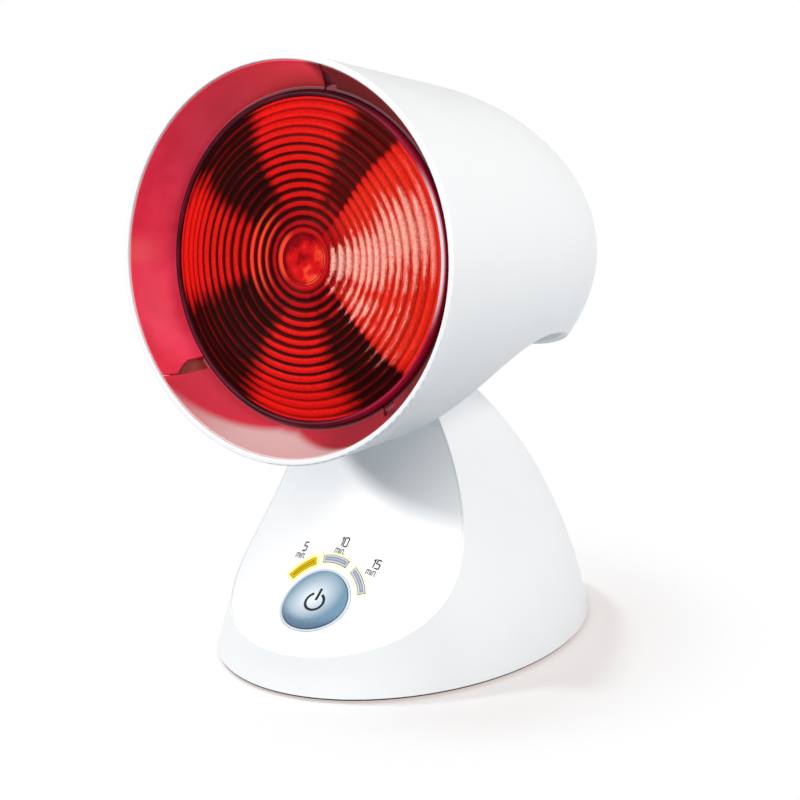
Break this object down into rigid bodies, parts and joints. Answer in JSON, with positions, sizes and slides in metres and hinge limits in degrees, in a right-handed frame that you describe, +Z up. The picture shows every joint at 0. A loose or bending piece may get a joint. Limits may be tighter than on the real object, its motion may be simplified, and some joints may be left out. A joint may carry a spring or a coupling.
{
  "type": "infrared heat lamp",
  "caption": "Table infrared heat lamp: a round tapered shade with a ribbed red bulb tilts on a hollow oval stand with a curved timer panel and a press button.",
  "frame": {"origin": "on the floor, under the middle of the lamp's box", "axes": "+Z up, -Y the way the lamp shines, +X to the right of the lamp seen from its front"},
  "size_m": [0.1466, 0.1853, 0.2344],
  "materials": {
    "shell_white": "satin moulded",
    "panel_white": "glossy moulded",
    "liner_red": "glossy metallic lacquer",
    "lens_red": "pressed, ribbed",
    "bulb_mirror": "silvered inside",
    "cap_metal": "drawn",
    "black_glass": "fused",
    "tungsten": "drawn wire",
    "housing_white": "fine texture",
    "ceramic": "glazed",
    "contact_brass": "pressed",
    "zinc_steel": "zinc plated",
    "arm_coat": "powder coat",
    "friction_fibre": "fibre",
    "bezel_chrome": "polished",
    "button_blue": "pearl",
    "guide_lit": "clear, lit",
    "guide_clear": "clear, unlit",
    "board_green": "solder mask",
    "part_black": "moulded",
    "part_blue": "moulded",
    "part_yellow": "cast case",
    "terminal_green": "moulded",
    "chip_white": "moulded",
    "fuse_glass": "clear",
    "ballast_iron": "painted",
    "plate_grey": "fine texture",
    "foot_rubber": "matt",
    "gland_grey": "moulded"
  },
  "bodies": {
    "stand": {"pivot_pin": "zinc_steel", "pivot_nut": "zinc_steel", "nut_washer": "zinc_steel", "friction_washers": "friction_fibre", "stand_shell": "shell_white", "front_panel": "panel_white", "button_bezel": "bezel_chrome", "light_guide_left": "guide_lit", "light_guide_middle": "guide_clear", "light_guide_right": "guide_clear", "timer_board": "board_green", "board_screws": "zinc_steel", "button_switch": "part_black", "indicator_leds": "chip_white", "bottom_plate": "plate_grey", "rubber_feet": "foot_rubber", "base_screws": "zinc_steel", "ballast_plate": "ballast_iron", "board_pillars": "contact_brass", "power_board": "board_green", "power_board_screws": "zinc_steel", "relay": "part_blue", "film_capacitor": "part_yellow", "terminal_block": "terminal_green", "fuse": "fuse_glass", "cord_gland": "gland_grey", "gland_nut": "gland_grey"},
    "head": {"shade_shell": "shell_white", "rear_vent_cap": "shell_white", "liner_left": "liner_red", "liner_bottom": "liner_red", "liner_right": "liner_red", "bulb_lens": "lens_red", "bulb_reflector": "bulb_mirror", "bulb_cap": "cap_metal", "cap_insulator": "black_glass", "cap_contact": "contact_brass", "filament": "tungsten", "filament_stem": "tungsten", "bulb_housing": "housing_white", "housing_screws": "zinc_steel", "lamp_holder": "ceramic", "holder_sleeve": "contact_brass", "holder_contact": "contact_brass", "holder_strap": "zinc_steel", "holder_screws": "zinc_steel", "hinge_arm": "arm_coat", "cradle_screws": "zinc_steel"},
    "button": {"power_button": "button_blue"}
  },
  "joints": [
    {"name": "head_tilt", "type": "hinge", "parent": "stand", "child": "head", "pos_m": [0, -0.00816, 0.094], "axis": [1, 0, 0], "range_deg": [-20, 20]},
    {"name": "button_press", "type": "slide", "parent": "stand", "child": "button", "axis": [0, 0.5984, -0.8012], "range_m": [0, 0.0008], "stiffness_N_per_m": 2500}
  ]
}
